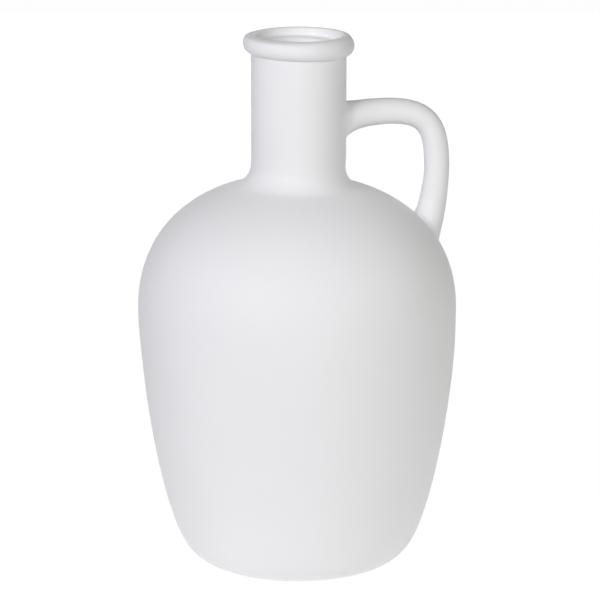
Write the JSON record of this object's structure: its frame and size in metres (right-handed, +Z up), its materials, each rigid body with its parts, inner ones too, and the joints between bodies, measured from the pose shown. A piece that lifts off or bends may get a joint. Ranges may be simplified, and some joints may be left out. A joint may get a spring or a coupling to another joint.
{
  "type": "ceramic bottle jug",
  "caption": "Free-standing white ceramic bottle jug with a full body, domed shoulder, straight neck, rolled lip and a loop handle from neck to shoulder.",
  "frame": {"origin": "centre of the standing ring, on the surface that the jug stands on", "axes": "+Z up along the axis of the body and neck, +X towards the handle, which lies in the XZ plane"},
  "size_m": [0.189, 0.189, 0.32],
  "materials": {
    "white_ceramic": "matte white, faintly satin, fine grain"
  },
  "bodies": {
    "root": {"base": "white_ceramic", "lower_body": "white_ceramic", "shoulder": "white_ceramic", "neck": "white_ceramic", "lip_ring": "white_ceramic", "handle": "white_ceramic"}
  },
  "joints": []
}
